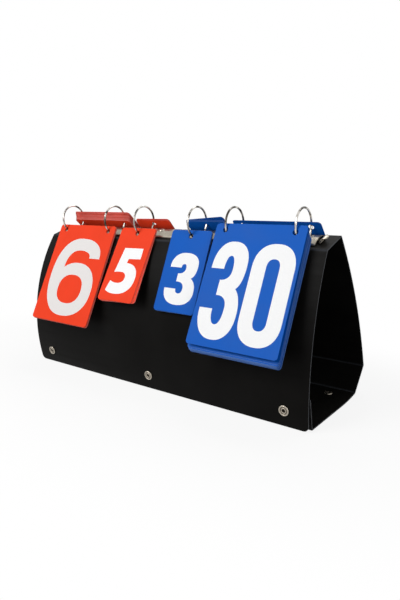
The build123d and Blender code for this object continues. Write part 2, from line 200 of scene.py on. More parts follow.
mesh = bpy.data.meshes.new("floor")
corners = [(x * floor_half, y * floor_half, 0) for x, y in ((-1, -1), (1, -1), (1, 1), (-1, 1))]
mesh.from_pydata(corners, [], [(0, 1, 2, 3)])
floor = bpy.data.objects.new("floor", mesh)
scene.collection.objects.link(floor)
material, tree, spots = new_material("pale_floor")
squeezed = add(tree, "VectorMath", {0: spots, 1: oval}, operation="MULTIPLY")
distance = add(tree, "VectorMath", {0: squeezed}, out="Value", operation="LENGTH")
near = add(tree, "MapRange", {"Value": distance, **from_to(shadow_reach, (shadow_share, 0.0))},
           interpolation_type="SMOOTHSTEP")
plain = add(tree, "Emission", {"Color": backdrop_white, "Strength": 1.0})
matt = add(tree, "BsdfDiffuse", {"Color": linear(floor_white)})
bounce = add(tree, "BsdfDiffuse", {"Color": linear(floor_bounce)})
shown = add(tree, "MixShader", {0: near, 1: plain, 2: matt})
either = add(tree, "MixShader", {0: seen_rays(tree), 1: bounce, 2: shown})
add(tree, "OutputMaterial", {"Surface": either})
mesh.materials.append(material)
print("floor reaches %.0f m each way" % floor_half)

# %% [markdown]
# ## The folded case
# The case is one sheet of black polypropylene, extruded through embossing rolls that leave a
# fine hair-cell grain, then die-cut and creased. Polypropylene is a satin plastic: it shows
# wide soft highlights and no mirror image, and the grain breaks even those up. Where the die
# cut it, the edge is slightly greyer than the face, and the folded hinges turn pale along the
# line where the plastic has been stretched. All of that can be a material, because the panels
# themselves are already the right shape. A texture image would have to be unwrapped over each
# panel; noise in Object coordinates needs no unwrapping and keeps its size in millimetres.

# %% Satin black polypropylene
sheet_black = "#0B0A09"
sheet_worn = "#11100F"
cut_edge_grey = "#47494D"
# Folding stretches the sheet pale by this share along the crease. That fades out between the
# second distance from the crease and the first.
crease_grey = "#303236"
crease_pale = 0.8
crease_reach = (1.9 * MM, 0.8 * MM)
crease_joints = ("case_fold", "heel_fold", "back_top_fold", "front_top_fold", "lip_fold")
# The hair-cell grain is about 0.3 mm across. It is drawn at 0.9 mm, since a finer one is lost.
grain_mm, grain_deep_mm, grain_strength = 0.9, 0.08, 0.1
handling_mm = 45.0
roll_streak_mm = (160.0, 5.0, 5.0)
sheet_rough = (0.40, 0.50)
sheet_sheen = 0.045
polypropylene_ior = 1.49
# A face counts as a cut edge when its normal lies along X by more than this.
end_on_from = 0.8
# Most of a noise pattern's values lie in the first span, and its high spots in the second.
noise_span = (0.3, 0.7)
high_span = (0.42, 0.72)


def polypropylene_sheet():
    """Extruded, embossed and die-cut sheet: black with a low satin sheen and a fine grain."""
    material, tree, spots = new_material("extruded_grained_polypropylene")
    grain = add(tree, "TexNoise", {"Vector": spots, "Scale": per_metre(grain_mm), "Detail": 3.0})
    handling = add(tree, "TexNoise",
                   {"Vector": spots, "Scale": per_metre(handling_mm), "Detail": 4.0})
    stretch = add(tree, "Mapping",
                  {"Vector": spots, "Scale": [per_metre(p) for p in roll_streak_mm]})
    streak = add(tree, "TexNoise", {"Vector": stretch, "Scale": 1.0, "Detail": 2.0})
    worn = add(tree, "MapRange", {"Value": handling, **from_to(high_span)})
    face = add(tree, "Mix", {0: worn, 6: linear(sheet_black), 7: linear(sheet_worn)},
               out=2, data_type="RGBA")
    # How near the closest crease is, measured square to X.
    across = add(tree, "VectorMath", {0: spots, 1: (0, 1, 1)}, operation="MULTIPLY")
    nearest = 1.0
    for joint in frame["joints"]:
        if joint["name"] in crease_joints:
            away = add(tree, "VectorMath", {0: across, 1: joint["pos_m"]},
                       out="Value", operation="DISTANCE")
            nearest = add(tree, "Math", {0: away, 1: nearest}, operation="MINIMUM")
    stretched = add(tree, "MapRange",
                    {"Value": nearest, **from_to(crease_reach, (0.0, crease_pale))})
    face = add(tree, "Mix", {0: stretched, 6: face, 7: linear(crease_grey)},
               out=2, data_type="RGBA")
    # The die-cut ends of every panel face along X, whichever way the case is folded.
    normal = add(tree, "NewGeometry", out="Normal")
    along_x = add(tree, "SeparateXYZ", {0: normal}, out="X")
    end_on = add(tree, "Math", {0: along_x}, operation="ABSOLUTE")
    is_cut = add(tree, "Math", {0: end_on, 1: end_on_from}, operation="GREATER_THAN")
    colour = add(tree, "Mix", {0: is_cut, 6: face, 7: linear(cut_edge_grey)},
                 out=2, data_type="RGBA")
    gloss = add(tree, "MapRange", {"Value": streak, **from_to(noise_span, sheet_rough)})
    relief = add(tree, "Bump", {"Height": grain, "Strength": grain_strength,
                                "Distance": grain_deep_mm * MM})
    shader = add(tree, "BsdfPrincipled", {"Base Color": colour, "Roughness": gloss,
                                          "IOR": polypropylene_ior, "Normal": relief,
                                          "Specular IOR Level": sheet_sheen})
    add(tree, "OutputMaterial", {"Surface": shader})
    return material


def dress(material, names):
    """Put one material in the slots of several solids."""
    for name in names:
        slots = nodes[name].data.materials
        slots.clear()
        slots.append(material)


sheet = polypropylene_sheet()
panels = ("front_panel", "top_panel", "back_panel", "rear_panel", "base_panel", "closing_lip")
dress(sheet, panels)
print("panels in", sheet.name, len(panels))

# %% [markdown]
# ## Plated metal
# Three metal finishes are on the board. The rings are drawn wire, bright nickel over steel,
# almost a mirror and slightly warm. A room gives such a wire dark and light things to mirror,
# which a bare studio doesn't, so clouds of tint stand in for them. The cover plate, blades and
# levers are pressed sheet with the same plating, less bright because the rolled sheet under it
# is not polished: its fine rolling lines run along the board. The rivets share that finish. The
# press studs are brass with antique nickel, which is darker, browner in its hollows and rubbed
# bright on its rims. A metal has no diffuse colour, so what it looks like comes from its tint
# and its roughness.

# %% Bright nickel on wire and on rolled sheet
# The wire's dark and light tints are painted reflections, standing in for what a room would mirror
# in it.
wire_painted_reflection_tints = ("#46423D", "#CFCBC4")
plate_tints = ("#948D80", "#B1AA9C")
plating_deep_mm = 0.05
# Only the middle of the noise is stretched to full range, so most of the metal is one tint or
# the other.
cloud_span = (0.42, 0.58)


def plated(name, tints, rough, lines_mm, tint_mm, strength):
    """Nickel plate: fine lines carry its roughness and relief, and wide clouds its tint, painted
    reflections on the wire.
    """
    material, tree, spots = new_material(name)
    stretch = add(tree, "Mapping", {"Vector": spots, "Scale": [per_metre(p) for p in lines_mm]})
    lines = add(tree, "TexNoise", {"Vector": stretch, "Scale": 1.0, "Detail": 3.0})
    gloss = add(tree, "MapRange", {"Value": lines, **from_to(noise_span, rough)})
    relief = add(tree, "Bump", {"Height": lines, "Strength": strength,
                                "Distance": plating_deep_mm * MM})
    clouds = add(tree, "TexNoise", {"Vector": spots, "Scale": per_metre(tint_mm), "Detail": 3.0})
    cloud = add(tree, "MapRange", {"Value": clouds, **from_to(cloud_span)})
    tint = add(tree, "Mix", {0: cloud, 6: linear(tints[0]), 7: linear(tints[1])},
               out=2, data_type="RGBA")
    shader = add(tree, "BsdfPrincipled", {"Base Color": tint, "Roughness": gloss,
                                          "Metallic": 1.0, "Normal": relief})
    add(tree, "OutputMaterial", {"Surface": shader})
    return material


wire_nickel = plated("bright_nickel_on_drawn_wire", wire_painted_reflection_tints, rough=(0.08, 0.18),
                     lines_mm=(3.0, 3.0, 3.0), tint_mm=9.0, strength=0.05)
plate_nickel = plated("nickel_on_rolled_steel_sheet", plate_tints, rough=(0.22, 0.34),
                      lines_mm=(60.0, 0.7, 0.7), tint_mm=30.0, strength=0.06)
rings = [name for name in nodes if "half_ring" in name]
plates = ["mechanism_cover", "front_blade", "back_blade", "mounting_rivets", "rivet_washers",
          "left_lever", "right_lever"]
dress(wire_nickel, rings)
dress(plate_nickel, plates)
print("rings", len(rings), "plates", len(plates))

# %% Antique nickel on the studs
antique_bright = "#A9A194"
antique_dark = "#4A4238"
antique_rough = (0.34, 0.52)
blotch_mm, blotch_range = 1.6, (-0.15, 0.15)


def antique_nickel():
    """Stamped brass, plated, darkened and rubbed: bright where it stands proud, brown in hollows.
    How deep a point lies is an attribute of the mesh, from 0 on a rim to 1 in a hollow."""
    material, tree, spots = new_material("antique_nickel_on_stamped_brass")
    blotch = add(tree, "TexNoise", {"Vector": spots, "Scale": per_metre(blotch_mm), "Detail": 4.0})
    deep = add(tree, "Attribute", out="Fac", attribute_name="hollow")
    patch = add(tree, "MapRange", {"Value": blotch, **from_to(noise_span, blotch_range)})
    brown = add(tree, "Math", {0: deep, 1: patch}, operation="ADD", use_clamp=True)
    tint = add(tree, "Mix", {0: brown, 6: linear(antique_bright), 7: linear(antique_dark)},
               out=2, data_type="RGBA")
    gloss = add(tree, "MapRange", {"Value": brown, **from_to((0.0, 1.0), antique_rough)})
    shader = add(tree, "BsdfPrincipled", {"Base Color": tint, "Roughness": gloss, "Metallic": 1.0})
    add(tree, "OutputMaterial", {"Surface": shader})
    return material


stud_nickel = antique_nickel()
studs = [name for name in nodes if "stud" in name]
dress(stud_nickel, studs)
print("studs", len(studs))

# %% [markdown]
# ## Press stud caps
# A stud cap is stamped from a disc of brass in one blow. The outer rim is rolled over, a trough
# runs inside it, and a round bead stands round the hole, where the barrel was flared through
# the sheet. The solid cap has only a chamfer and a flat dish, since motion needs no more. A lathe
# makes the real section: a profile of distances from the axis and heights, turned about the
# axis. Its trough and its hole carry the attribute that the finish reads as a hollow.

# %% Read a solid, smooth a profile and make a piece
bend_steps = 4
sharp_degrees = 50


def points_of(name):
    """A solid's vertices in millimetres."""
    verts = nodes[name].data.vertices
    flat = np.empty(len(verts) * 3)
    verts.foreach_get("co", flat)
    return flat.reshape(-1, 3) / MM


def smooth_profile(bends):
    """Rows between the bends by a Catmull-Rom curve. With p0 to p3 the rows round a span and t
    from 0 to 1, it is half of 2 p1 + (p2 - p0) t + (2 p0 - 5 p1 + 4 p2 - p3) t^2
    + (3 p1 - p0 - 3 p2 + p3) t^3."""
    rows = np.array(bends)
    rows = np.vstack((2 * rows[0] - rows[1], rows, 2 * rows[-1] - rows[-2]))
    p0, p1, p2, p3 = (rows[i:len(rows) - 3 + i, None, :] for i in range(4))
    t = np.linspace(0, 1, bend_steps, endpoint=False)[None, :, None]
    spans = 0.5 * (2 * p1 + (p2 - p0) * t + (2 * p0 - 5 * p1 + 4 * p2 - p3) * t ** 2
                   + (3 * p1 - p0 - 3 * p2 + p3) * t ** 3)
    return np.vstack((spans.reshape(-1, rows.shape[1]), rows[-2]))


def new_piece(name, verts, faces, materials):
    """An object at the origin, from vertices in millimetres and faces."""
    mesh = bpy.data.meshes.new(name)
    mesh.from_pydata((verts.reshape(-1, 3) * MM).tolist(), [], faces)
    for material in materials:
        mesh.materials.append(material)
    piece = bpy.data.objects.new(name, mesh)
    scene.collection.objects.link(piece)
    return piece


def shade_metal(piece):
    """Smooth shading that stops where two faces meet at more than sharp_degrees."""
    piece.data.shade_smooth()
    piece.data.set_sharp_from_angle(angle=math.radians(sharp_degrees))


def volume_of(piece):
    """A closed piece's volume in cubic millimetres, above 0 where its faces point outwards: a
    third of the sum of area times the middle's distance along the normal."""
    total = sum(face.area * face.center.dot(face.normal) for face in piece.data.polygons)
    return total / 3 / MM ** 3


print("a profile gets", bend_steps, "rows for each bend")

# %% Turn the three caps
cap_steps = 64
# A cap's points lie this near to its own x.
cap_reach = 20
# The section from under the rim, over the rim, the trough and the bead, into the hole: distance
# from the axis, height over the solid's top and how deep in a hollow it lies.
cap_bends = ((5.05, -1.05, 0.3), (5.22, -0.92, 0.1), (5.25, -0.62, 0.0), (5.1, -0.3, 0.0),
             (4.75, -0.08, 0.0), (4.25, -0.04, 0.0), (3.85, -0.2, 0.25), (3.6, -0.5, 0.85),
             (3.3, -0.62, 1.0), (3.0, -0.5, 0.85), (2.8, -0.26, 0.4), (2.5, -0.12, 0.15),
             (2.15, -0.14, 0.2), (1.85, -0.3, 0.5), (1.65, -0.6, 0.85), (1.55, -1.1, 1.0),
             (1.55, -2.2, 1.0))


def turned(name, profile, seats, material):
    """One mesh of equal turned shapes: a point is centre + r (cos a u + sin a v) + height axis.
    The section is closed from its last row to its first. Its third column is the attribute."""
    angles = np.linspace(0, 2 * math.pi, cap_steps, endpoint=False)
    rows, n = len(profile), cap_steps
    here = np.arange(rows)[:, None] * n + np.arange(n)
    after = np.arange(rows)[:, None] * n + np.roll(np.arange(n), -1)
    quads = np.stack((here, after, after + n, here + n), axis=-1).reshape(-1, 4) % (rows * n)
    verts, faces = [], []
    for number, (centre, axis) in enumerate(seats):
        u = np.cross(axis, (0, 0, 1.0))
        u /= np.linalg.norm(u)
        around = np.cos(angles)[:, None] * u + np.sin(angles)[:, None] * np.cross(axis, u)
        verts.append(centre + profile[:, 0, None, None] * around
                     + profile[:, 1, None, None] * axis)
        faces.append(quads + number * rows * n)
    piece = new_piece(name, np.concatenate(verts), np.vstack(faces).tolist(), [material])
    hollow = piece.data.attributes.new("hollow", "FLOAT", "POINT").data
    hollow.foreach_set("value", np.tile(np.repeat(profile[:, 2], n), len(seats)))
    shade_metal(piece)
    return piece


def disc_seats(points, xs):
    """The middle of the top and the axis of the disc-shaped solid near each x: the axis is the
    direction in which its points spread least, turned towards the front."""
    seats = []
    for x in xs:
        near = points[np.abs(points[:, 0] - x) < cap_reach]
        middle = (near.min(0) + near.max(0)) / 2
        axis = np.linalg.svd(near - near.mean(0), full_matrices=False)[2][2]
        axis *= -math.copysign(1, axis[1])
        heights = (near - middle) @ axis
        seats.append((middle + heights.max() * axis, axis))
    return seats


cap_points = points_of("front_stud_caps")
outermost = cap_points[:, 0].max() - max(radius for radius, _, _ in cap_bends)
seats = disc_seats(cap_points, (-outermost, 0, outermost))
caps = turned("stamped_stud_caps", smooth_profile(cap_bends), seats, stud_nickel)
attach(caps, "front")
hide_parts("front_stud_caps")
print("caps at x", [round(float(centre[0])) for centre, _ in seats],
      "volume %.0f mm3" % volume_of(caps))

# %% [markdown]
# ## Thumb levers
# A lever at each end of the mechanism opens the rings. The press bends it from a tongue of the
# same sheet: a narrow neck that slips under the blades, a heel that it rocks on, and a wide tab
# that rises and curls over outwards to be soft under a thumb. Two surfaces a sheet's thickness
# apart, lofted along that bent line, give the curl and the tab's rounded corners together. The
# place comes from the lever's own hinge, so the tab turns about its heel as the solid does.

# %% Bend the two levers
lever_wall, heel_roll = 1.0, 0.8
# The tongue's bent line from the neck's end to the tab's lip: distance outward from the heel's
# axis, height over it, half the width and how far the sides of the crowned tab droop.
lever_bends = ((-6.6, 0.0, 3.0, 0.0), (-5.2, 0.0, 3.0, 0.0), (-4.3, 0.0, 3.7, 0.0),
               (-3.6, 0.15, 5.0, 0.0), (-2.9, 0.6, 5.7, 0.1), (-2.3, 1.4, 5.9, 0.2),
               (-1.8, 2.5, 5.9, 0.3), (-1.2, 3.5, 5.8, 0.4), (-0.3, 4.2, 5.6, 0.5),
               (0.8, 4.35, 5.2, 0.6), (1.7, 4.1, 4.4, 0.5), (2.3, 3.7, 3.4, 0.35),
               (2.6, 3.4, 2.3, 0.2), (2.7, 3.3, 1.0, 0.1))
# The roll lies under the bend, inward of the axis, and is as wide as the tab.
roll_at = -3.0
roll_half = max(half for _, _, half, _ in lever_bends)
cross_steps, roll_steps = 24, 16


def bent_tongue(name, joint, outward):
    """Two surfaces half the wall to each side of P = axis + a outward + c across + (h - droop
    (c/w)^2) up, where c runs from -w to w, joined round their border, and a roll under them."""
    a, h, w, droop = smooth_profile(lever_bends).T[:, :, None]
    c = np.linspace(-1, 1, cross_steps) * w
    out = np.array((outward, 0, 0))
    across = np.array((0.0, abs(joint["axis"][1]), abs(joint["axis"][2])))
    up = np.cross((1.0, 0, 0), across)
    heel = np.array(joint["pos_m"]) / MM
    grid = (heel + a[..., None] * out + c[..., None] * across
            + (h - droop * (c / w) ** 2)[..., None] * up)
    normal = np.cross(np.gradient(grid, axis=0), np.gradient(grid, axis=1)) * outward
    normal *= lever_wall / 2 / np.linalg.norm(normal, axis=2, keepdims=True)
    rows, n = grid.shape[:2]
    i = (np.arange(rows - 1)[:, None] * n + np.arange(n - 1)).ravel()
    surface = np.column_stack((i, i + n, i + n + 1, i + 1))
    border = np.concatenate((np.arange(n - 1), np.arange(rows - 1) * n + n - 1,
                             (rows - 1) * n + np.arange(n - 1, 0, -1),
                             np.arange(rows - 1, 0, -1) * n))
    after = np.roll(border, -1)
    rim = np.column_stack((border, after, after + rows * n, border + rows * n))
    turns = np.linspace(0, 2 * math.pi, roll_steps, endpoint=False)
    ends = np.array((-roll_half, roll_half))[:, None, None] * across
    roll = (heel + roll_at * out + ends
            + heel_roll * (np.cos(turns)[:, None] * out + np.sin(turns)[:, None] * up))
    j = np.arange(roll_steps) + 2 * rows * n
    side = np.column_stack((j, j + roll_steps, np.roll(j, -1) + roll_steps, np.roll(j, -1)))
    faces = [*surface, *(surface[:, ::-1] + rows * n), *rim, *side, j, j[::-1] + roll_steps]
    verts = [part.reshape(-1, 3) for part in (grid + normal, grid - normal, roll)]
    # The left lever is a mirror image, so its faces are listed the other way round.
    piece = new_piece(name, np.vstack(verts), [face[::outward].tolist() for face in faces],
                      [plate_nickel])
    shade_metal(piece)
    return piece


hinges = {joint["child"]: joint for joint in frame["joints"]}
for body, outward in (("right_lever", 1), ("left_lever", -1)):
    lever = bent_tongue(body + "_tongue", hinges[body], outward)
    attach(lever, body)
    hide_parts(body)
    print(body, "volume %.0f mm3" % volume_of(lever))

# %% [markdown]
# ## The card plastic
# The cards are cut from calendered PVC, 0.2 mm thick and dyed right through, orange-red for
# one side and blue for the other. The rollers leave a very even semi-gloss face with a hint of
# orange peel. The guillotine leaves a rougher edge and presses the rim of the face pale. That
# pale colour is partly this whitening and partly a painted highlight where light catches the
# edges, so a pile of cards shows as a stack of paler lines. An edge could be told from a face by
# its normal, but cards hang at several angles. So faces and edges are two materials, given face
# by face when the card meshes are made.

# %% Red and blue calendered PVC, and their cut edges
# Each set's colour on its faces and on its cut edges. The edge colour is paler partly from the
# cut and partly as a painted highlight.
card_colours = {"red": ("#F44526", "#E87E74"), "blue": ("#0A5BBD", "#5A80C4")}
face_rough, edge_rough = 0.36, 0.55
card_sheen = 0.045
pvc_ior = 1.53
peel_mm, peel_deep_mm, peel_strength = 2.5, 0.03, 0.02
# Handling marks change the shade by these factors and the roughness by these amounts.
marks_mm, marks_span = 30.0, (0.35, 0.65)
marks_shade = (0.95, 1.03)
marks_rough = (-0.04, 0.06)


def card_plastic(name, hex_colour, rough):
    """Calendered PVC: even colour, semi-gloss, faint orange peel and slight handling marks."""
    material, tree, spots = new_material(name)
    peel = add(tree, "TexNoise", {"Vector": spots, "Scale": per_metre(peel_mm), "Detail": 2.0})
    marks = add(tree, "TexNoise", {"Vector": spots, "Scale": per_metre(marks_mm), "Detail": 5.0})
    shade = add(tree, "MapRange", {"Value": marks, **from_to(noise_span, marks_shade)})
    colour = add(tree, "VectorMath", {0: linear(hex_colour)[:3], 3: shade}, operation="SCALE")
    gloss_range = [rough + more for more in marks_rough]
    gloss = add(tree, "MapRange", {"Value": marks, **from_to(marks_span, gloss_range)})
    relief = add(tree, "Bump", {"Height": peel, "Strength": peel_strength,
                                "Distance": peel_deep_mm * MM})
    shader = add(tree, "BsdfPrincipled", {"Base Color": colour, "Roughness": gloss,
                                          "IOR": pvc_ior, "Normal": relief,
                                          "Specular IOR Level": card_sheen})
    add(tree, "OutputMaterial", {"Surface": shader})
    return material


card_faces, card_edge_whitening_and_highlight = {}, {}
for key, (face_colour, edge_whitening_and_highlight_colour) in card_colours.items():
    card_faces[key] = card_plastic(key + "_calendered_pvc", face_colour, face_rough)
    # The edge material's pale colour is partly the whitened cut and partly a painted highlight.
    card_edge_whitening_and_highlight[key] = card_plastic(key + "_guillotined_pvc_edge", edge_whitening_and_highlight_colour, edge_rough)
    dress(card_faces[key], [name for name in nodes if name.startswith(key + "_")])
    print(card_faces[key].name, "and", card_edge_whitening_and_highlight[key].name)

# %% [markdown]
# ## Flat cut shapes
# A card and a printed numeral are the same kind of thing: an outline with holes, cut from
# something thin. Blender can make one from a text or a filled curve, but then the letter shapes
# are a font's. Here an outline is traced from straight runs and quarter curves. A quarter of
# a superellipse, |x/a|^n + |y/b|^n = 1, is rounder than a circle's quarter when n is above 2,
# and that squareness is what makes the bowls of a grotesque numeral look right.

# %% Trace an outline
bowl_power = 2.3
curve_steps = 12


def quarter(a, b, first):
    """A quarter superellipse from a to b. It leaves a along x if first is h, along y if v: one
    coordinate goes as sin(t)^(2/n), the other as 1 - cos(t)^(2/n), t from 0 to a right angle."""
    t = np.linspace(0, math.pi / 2, curve_steps + 1)[1:]
    fast = np.sin(t) ** (2 / bowl_power)
    slow = 1 - np.cos(t).clip(0) ** (2 / bowl_power)
    along_x, along_y = (fast, slow) if first == "h" else (slow, fast)
    return np.column_stack((a[0] + (b[0] - a[0]) * along_x, a[1] + (b[1] - a[1]) * along_y))


def bend(a, control, b):
    """A quadratic curve from a to b: (1-t)^2 a + 2t(1-t) control + t^2 b."""
    t = np.linspace(0, 1, curve_steps + 1)[1:, None]
    return (1 - t) ** 2 * np.array(a) + 2 * t * (1 - t) * np.array(control) + t ** 2 * np.array(b)


def trace(start, *steps):
    """A closed outline. A step is (l, x, y) for a line, (h or v, x, y) for a quarter, or
    (c, control x, control y, x, y) for a bend."""
    rows = [np.array([start], float)]
    for kind, *numbers in steps:
        here, end = tuple(rows[-1][-1]), tuple(numbers[-2:])
        if kind == "l":
            rows.append(np.array([end], float))
        elif kind == "c":
            rows.append(bend(here, numbers[:2], end))
        else:
            rows.append(quarter(here, end, kind))
    return np.vstack(rows)


print("a quarter has", len(quarter((0, 0), (1, 1), "h")), "points")

# %% Cut thin plates from an outline
# A triangle whose doubled area in square millimetres is less than this is left out.
no_area = 1e-9


def twice_area(a, b, c):
    """Twice the signed area of triangles: the cross product of two of their sides."""
    return (b[:, 0] - a[:, 0]) * (c[:, 1] - a[:, 1]) - (b[:, 1] - a[:, 1]) * (c[:, 0] - a[:, 0])


def plate_parts(loops, border):
    """Points, front triangles and rim edges of a flat shape given as an outline and its holes.
    With a border, a loop that follows the outline inside it, the triangles between the two come
    first, and their number is returned too."""
    outer, filled, count = [], loops, 0
    if border is not None:
        outer, filled, count = [loops[0]], [border] + loops[1:], len(border)
    points = np.vstack(outer + filled)
    corners = [[Vector((x, y, 0)) for x, y in loop] for loop in filled]
    here, after = np.arange(count), np.roll(np.arange(count), -1)
    between = np.vstack((np.column_stack((here, after, after + count)),
                         np.column_stack((here, after + count, here + count)))).astype(int)
    triangles = np.vstack((between, np.array(tessellate_polygon(corners)) + count))
    doubled = twice_area(*(points[triangles[:, i]] for i in range(3)))
    triangles[doubled < 0] = triangles[doubled < 0][:, ::-1]
    triangles = triangles[np.abs(doubled) > no_area]
    rims, start = [], 0
    for number, loop in enumerate(loops):
        index = np.arange(len(loop)) + start
        start += len(loop) + (count if number == 0 else 0)
        onward = np.roll(loop, -1, axis=0)
        turns_left = np.sum(loop[:, 0] * onward[:, 1] - loop[:, 1] * onward[:, 0]) > 0
        # The outline runs to the left and the holes to the right, so every wall faces outwards.
        if turns_left != (number == 0):
            index = index[::-1]
        rims.append(np.column_stack((index, np.roll(index, -1))))
    return points, triangles, np.vstack(rims), len(between)


def thin_plates(name, loops, places, low, high, materials, border=None):
    """One mesh of many equal plates: front at height high, back at height low, walls between.
    places is a list of (origin, right, up, out): a point is origin + x right + y up + height
    out. The walls and the border take the last material, the other faces the first."""
    points, triangles, rims, edged = plate_parts(loops, border)
    count = len(points)
    both = np.vstack((np.column_stack((points, np.full(count, high))),
                      np.column_stack((points, np.full(count, low)))))
    origins = np.array([place[0] for place in places])
    axes = np.array([place[1:] for place in places])
    verts = origins[:, None, :] + np.einsum("vk,pkc->pvc", both, axes)
    walls = np.column_stack((rims[:, 0], rims[:, 0] + count, rims[:, 1] + count, rims[:, 1]))
    shift = np.arange(len(places))[:, None, None] * 2 * count
    flat = (np.vstack((triangles, triangles[:, ::-1] + count)) + shift).reshape(-1, 3)
    wall = (walls + shift).reshape(-1, 4)
    piece = new_piece(name, verts, flat.tolist() + wall.tolist(), materials)
    in_border = np.tile(np.arange(len(triangles)) < edged, 2 * len(places))
    slots = np.full(len(flat) + len(wall), len(materials) - 1, np.int32)
    slots[:len(flat)][~in_border] = 0
    piece.data.polygons.foreach_set("material_index", slots)
    return piece


unit_square = np.array(((0, 0), (1, 0), (1, 1), (0, 1.0)))
print("a square plate has", len(plate_parts([unit_square], None)[1]), "triangles in front")

# %% [markdown]
# ## How a card hangs
# Each card hangs by the rims of its punched holes, so where it hangs follows from its distance
# to the ring's centre: the further out along the ring, the higher its hole. The tilt, the
# centre of the rings and the spread of each pile are read from the frame: the flat solids give
# the tilt, the joints give the centre, and the rings' own solids give their radius.

# %% Read the rings
ring_centre = np.array(hinges["red_score_card"]["pos_m"]) / MM
wire = points_of("front_half_ring_1")
wire_radius = np.ptp(wire[:, 0]) / 2
ring_radius = np.hypot(*(wire[:, 1:] - ring_centre[1:]).T).max() - wire_radius
ring_xs = sorted(points_of("front_half_ring_%d" % n)[:, 0].mean() for n in range(1, 7))
print("ring radius %.2f, wire radius %.2f" % (ring_radius, wire_radius))

# %% Read the piles
hole_radius = 2.9
hole_inset = 6.8
# The play between a hole's rim and the wire that it hangs on.
rim_gap = 0.15
# Every tilt that a pile may have, in fine steps of its degrees from upright.
tilts = np.radians(np.arange(5, 65, 0.1))


class Pile:
    """A pile of parallel cards: how wide and tall, how tilted, and how far it spreads."""

    def __init__(self, name, side, height=None):
        """side is -1 in front of the rings and 1 behind. A pile whose cards are spread takes its
        height from elsewhere."""
        points = points_of(name)
        low, high = points.min(0), points.max(0)
        self.x = (low[0] + high[0]) / 2
        self.width = high[0] - low[0]
        # The cards' tilt: the direction square to X in which the pile is thinnest.
        outs = np.column_stack((0 * tilts, side * np.cos(tilts), np.sin(tilts)))
        best = np.ptp(points @ outs.T, axis=0).argmin()
        self.tilt = math.degrees(tilts[best])
        self.out = outs[best]
        self.up = np.array((0, -side * self.out[2], side * self.out[1]))
        self.right = np.array((-side, 0, 0.0))
        self.height = np.ptp(points @ self.up) if height is None else height
        reach = (points - ring_centre) @ self.out
        self.nearest, self.farthest = reach.min(), reach.max()

    def place(self, offset, end=None, slide=0.0, swing=0.0):
        """Where a card's hole line is at an offset from the ring's centre: up the ring by the root
        of R^2 - offset^2, less the play that lets its hole's rim rest on the slanted wire. end is
        the free end's offset where it differs, slide a shift along X and swing a turn in the
        card's plane."""
        slant = math.asin(offset / ring_radius)
        hang = hole_radius - wire_radius / math.cos(slant) - rim_gap
        s = ((offset if end is None else end) - offset) / (self.height - hole_inset)
        c = math.sqrt(1 - s * s)
        out = self.out * c + self.up * s
        up = self.up * c - self.out * s
        right = self.right * math.cos(swing) + up * math.sin(swing)
        up = up * math.cos(swing) - self.right * math.sin(swing)
        down = math.sqrt(ring_radius ** 2 - offset ** 2) + hang
        origin = ring_centre + self.out * offset - self.up * down + (self.x + slide, 0, 0)
        return origin, right, up, out


set_names = ("red_score", "red_set", "blue_set", "blue_score")
shown, behind, flipped = {}, {}, {}
for name in set_names:
    card = shown[name] = Pile(name + "_card", -1)
    behind[name] = Pile(name + "_front_stack", -1, card.height)
    flipped[name] = Pile(name + "_back_stack", 1, card.height)
    print("%s: %.1f x %.1f, tilt %.1f and %.1f" % (name, card.width, card.height, card.tilt,
                                                   flipped[name].tilt))

# %% [markdown]
# ## Single cards in place of blocks
# In the solids a thick pile is a few blocks, which is all that motion needs. Seen close, a pile
# is single cards that never lie quite alike. Handling sorts them into clumps with air between,
# a flipped pile is spread by the rings where it hangs and lies shut at its free end, and a
# small card, which has one ring only, swings askew. All of that is given pile by pile in a
# table. The small differences inside a clump come from a seeded generator, so every run gives
# the same pile. The cards of a pile are cut from one outline and set out together as one mesh.

# %% Cut the cards and hang the piles
card_corner = 3.5
card_wall = 0.22
# The knife presses the rim of each card pale for this far in. That pale rim is partly the
# whitened cut and partly a painted highlight along the edge.
pale_rim_whitening_and_highlight = 0.13
corner_steps, hole_steps = 7, 24
# Each pile from the card nearest the case outwards: its clumps, as (cards, air beyond them, in
# gaps between two cards of a clump), how much further out its last card is at the rings and at
# its free end, in millimetres, and the swing of its first and last card in degrees.
pile_makeup = {
    "red_score_cards_behind": (((4, 3), (2, 2)), (0.0, -0.1), (0.0, 0.0)),
    "red_score_cards_flipped": (((11, 4), (7, 5), (6, 0)), (2.1, 0.0), (0.0, 0.0)),
    "red_set_cards_behind": (((3, 2), (2, 1)), (0.0, -0.2), (2.4, 0.3)),
    "red_set_cards_flipped": (((2, 0),), (0.6, 0.0), (0.0, -0.8)),
    "blue_set_cards_behind": (((3, 1),), (0.0, -0.1), (0.5, 0.1)),
    "blue_set_cards_flipped": (((3, 2), (1, 0)), (1.0, 0.0), (0.0, -6.5)),
    "blue_score_cards_behind": (((16, 2), (11, 22), (3, 26)), (0.0, -2.8), (0.0, 0.0)),
    "blue_score_cards_flipped": (((1, 0),), (1.6, 0.4), (0.0, 0.0)),
}
# The last cards swing most: the swing grows with this power of the way through the pile.
swing_power = 3
# By chance: a gap inside a clump, as a share of the mean one, a card's swing in degrees, and the
# millimetres that a big card slides along its two rings and a small one on its one ring.
gap_chance = (0.3, 1.7)
swing_chance = 0.1
slide_chance = {"score": 0.6, "set": 0.3}


